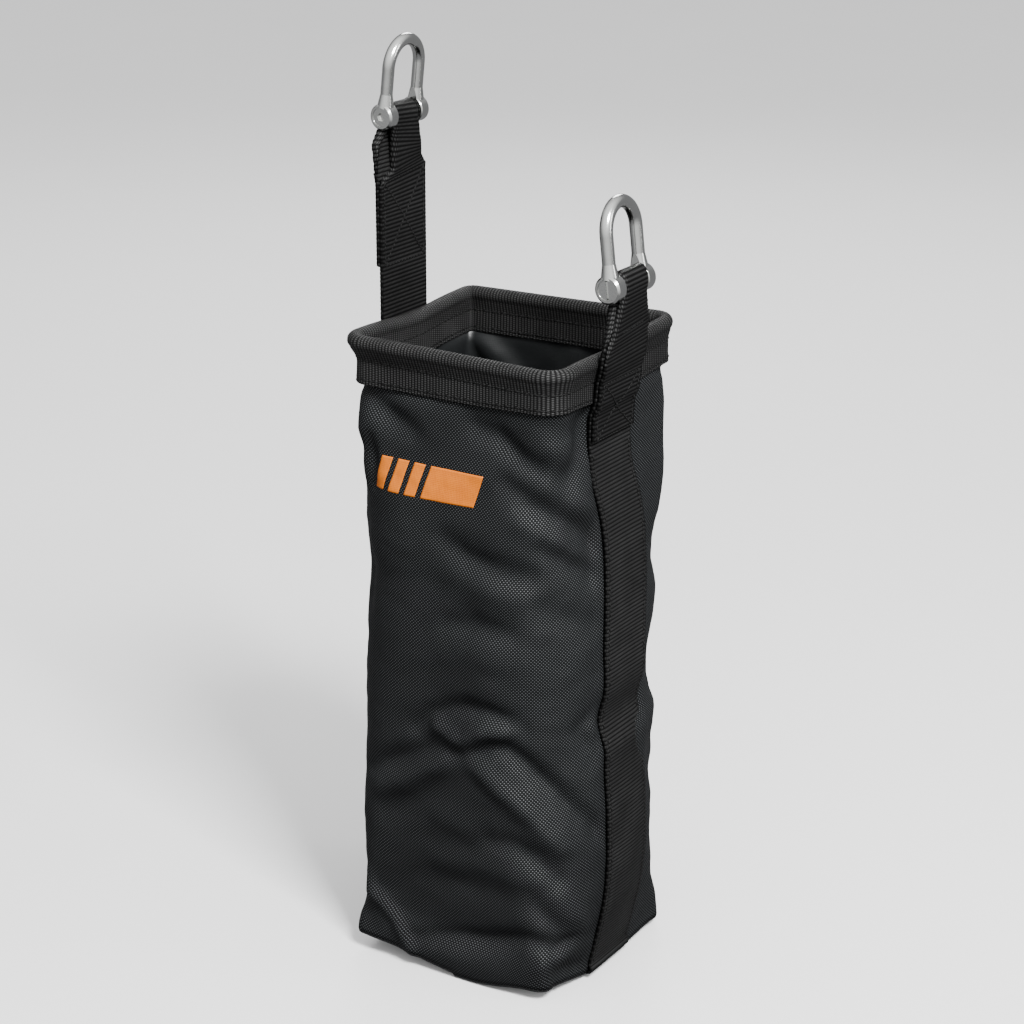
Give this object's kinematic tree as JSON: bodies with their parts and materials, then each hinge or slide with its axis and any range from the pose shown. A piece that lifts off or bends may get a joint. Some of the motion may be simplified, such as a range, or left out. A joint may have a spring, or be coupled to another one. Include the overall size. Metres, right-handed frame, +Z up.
{
  "type": "rope storage bag",
  "caption": "Square, open-topped woven bag with a stiffened rim, carried by a sewn webbing strap whose folded ends each hold a long D-shackle.",
  "frame": {"origin": "middle of the bag's underside, on the ground", "axes": "+Z up, -Y out of the printed front face, -X towards the long strap, +X towards the short strap"},
  "size_m": [0.176, 0.148, 0.5821],
  "materials": {
    "coated_fabric": "coated basket weave",
    "binding": "ribbed webbing",
    "webbing": "heavy ribbed webbing",
    "thread": "bonded thread",
    "hoop_steel": "bright drawn",
    "shackle_steel": "polished galvanised",
    "print": "screen print"
  },
  "bodies": {
    "bag": {"front_shell": "coated_fabric", "rear_shell": "coated_fabric", "base_panel": "coated_fabric", "base_seam_binding": "binding", "left_seam_binding": "binding", "right_seam_binding": "binding", "rim_hoop": "hoop_steel", "rim_binding": "binding", "rim_stitching_upper": "thread", "rim_stitching_lower": "thread", "load_strap": "webbing", "strap_edge_stitching": "thread", "short_strap_tail": "webbing", "short_splice_stitching": "thread", "printed_mark": "print"},
    "long_strap": {"long_strap_upper": "webbing", "long_splice_stitching": "thread"},
    "long_shackle": {"long_shackle_bow": "shackle_steel"},
    "long_pin": {"long_shackle_pin": "shackle_steel"},
    "short_strap": {"short_strap_upper": "webbing", "short_eye_stitching": "thread"},
    "short_shackle": {"short_shackle_bow": "shackle_steel"},
    "short_pin": {"short_shackle_pin": "shackle_steel"}
  },
  "joints": [
    {"name": "long_strap_fold", "type": "hinge", "parent": "bag", "child": "long_strap", "pos_m": [-0.07785, 0, 0.4125], "axis": [0, 1, 0], "range_deg": [-130, 55]},
    {"name": "long_shackle_swing", "type": "hinge", "parent": "long_strap", "child": "long_shackle", "pos_m": [-0.07905, 0, 0.534], "axis": [0, -1, 0], "range_deg": [-130, 130]},
    {"name": "long_pin_withdraw", "type": "slide", "parent": "long_shackle", "child": "long_pin", "axis": [0, -1, 0], "range_m": [0, 0.046]},
    {"name": "short_strap_fold", "type": "hinge", "parent": "bag", "child": "short_strap", "pos_m": [0.07905, 0, 0.4125], "axis": [0, -1, 0], "range_deg": [-130, 80]},
    {"name": "short_shackle_swing", "type": "hinge", "parent": "short_strap", "child": "short_shackle", "pos_m": [0.07905, 0, 0.45], "axis": [0, 1, 0], "range_deg": [-120, 130]},
    {"name": "short_pin_withdraw", "type": "slide", "parent": "short_shackle", "child": "short_pin", "axis": [0, -1, 0], "range_m": [0, 0.046]}
  ]
}
